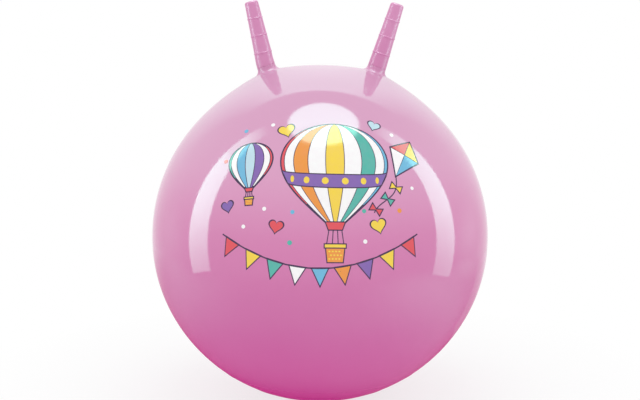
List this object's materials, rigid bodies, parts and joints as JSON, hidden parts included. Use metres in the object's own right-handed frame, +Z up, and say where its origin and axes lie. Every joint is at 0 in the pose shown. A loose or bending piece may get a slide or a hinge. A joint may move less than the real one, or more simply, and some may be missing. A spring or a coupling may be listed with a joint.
{
  "type": "hopper ball",
  "caption": "Inflatable ride-on bouncing ball of soft vinyl, with ribbed horn handles seated in flared collars on top, raised rings round its base and a pull-out air plug underneath.",
  "frame": {"origin": "on the ground under the middle of the ball, at the centre of the flat resting patch", "axes": "+Z up, the horns stand along X with left_horn at -X, the printed front of the ball faces -Y"},
  "size_m": [0.5, 0.5, 0.5924],
  "materials": {
    "ball_vinyl": "gloss",
    "horn_vinyl": "satin",
    "valve_plastic": "satin"
  },
  "bodies": {
    "ball": {"ball_shell": "ball_vinyl", "left_horn": "horn_vinyl", "right_horn": "horn_vinyl", "valve_seat": "valve_plastic"},
    "plug": {"valve_plug": "valve_plastic"}
  },
  "joints": [
    {"name": "valve_plug_pull", "type": "slide", "parent": "ball", "child": "plug", "axis": [0, 0, -1], "range_m": [0, 0.02]}
  ]
}
